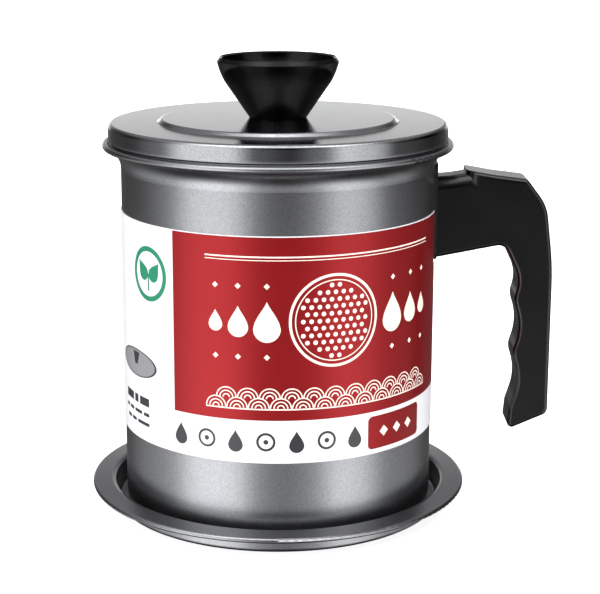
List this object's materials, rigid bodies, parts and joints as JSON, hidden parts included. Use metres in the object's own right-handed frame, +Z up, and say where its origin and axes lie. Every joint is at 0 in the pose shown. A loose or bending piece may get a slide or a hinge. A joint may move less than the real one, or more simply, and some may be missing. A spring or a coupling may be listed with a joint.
{
  "type": "grease strainer pot",
  "caption": "Lidded round metal pot with a black side handle and knob, a lift-out mesh strainer in its mouth, a paper label sleeve and a saucer-like drip tray.",
  "frame": {"origin": "middle of the drip tray's flat underside, on the pot's axis", "axes": "+Z up along the pot's axis, +X from the axis towards the handle"},
  "size_m": [0.1789, 0.1468, 0.1742],
  "materials": {
    "grey_coating": "satin metallic non-stick coating on steel",
    "lid_coating": "satin metallic coating, smoother on the raised panel",
    "black_phenolic": "moulded black phenolic resin",
    "black_enamel": "black enamelled steel",
    "printed_paper": "coated paper, printed red and white",
    "stainless_mesh": "stainless wire and strip",
    "zinc_steel": "bright zinc plating",
    "brass_insert": "turned brass"
  },
  "bodies": {
    "tray": {"drip_tray": "grey_coating"},
    "pot": {"pot_shell": "grey_coating", "label_sleeve": "printed_paper", "handle_bracket": "black_enamel", "bracket_nut": "zinc_steel", "handle_grip": "black_phenolic", "handle_washer": "zinc_steel", "handle_lock_washer": "zinc_steel", "handle_screw": "zinc_steel"},
    "strainer": {"strainer_cup": "grey_coating", "strainer_mesh": "stainless_mesh", "mesh_clamp_ring": "stainless_mesh"},
    "lid": {"lid_shell": "lid_coating", "lid_knob": "black_phenolic", "knob_insert": "brass_insert", "knob_washer": "zinc_steel", "knob_lock_washer": "zinc_steel", "knob_screw": "zinc_steel"}
  },
  "joints": [
    {"name": "pot_lift", "type": "slide", "parent": "tray", "child": "pot", "axis": [0, 0, 1], "range_m": [0, 0.05]},
    {"name": "strainer_lift", "type": "slide", "parent": "pot", "child": "strainer", "axis": [0, 0, 1], "range_m": [0, 0.06]},
    {"name": "lid_lift", "type": "slide", "parent": "strainer", "child": "lid", "axis": [0, 0, 1], "range_m": [0, 0.06]}
  ]
}
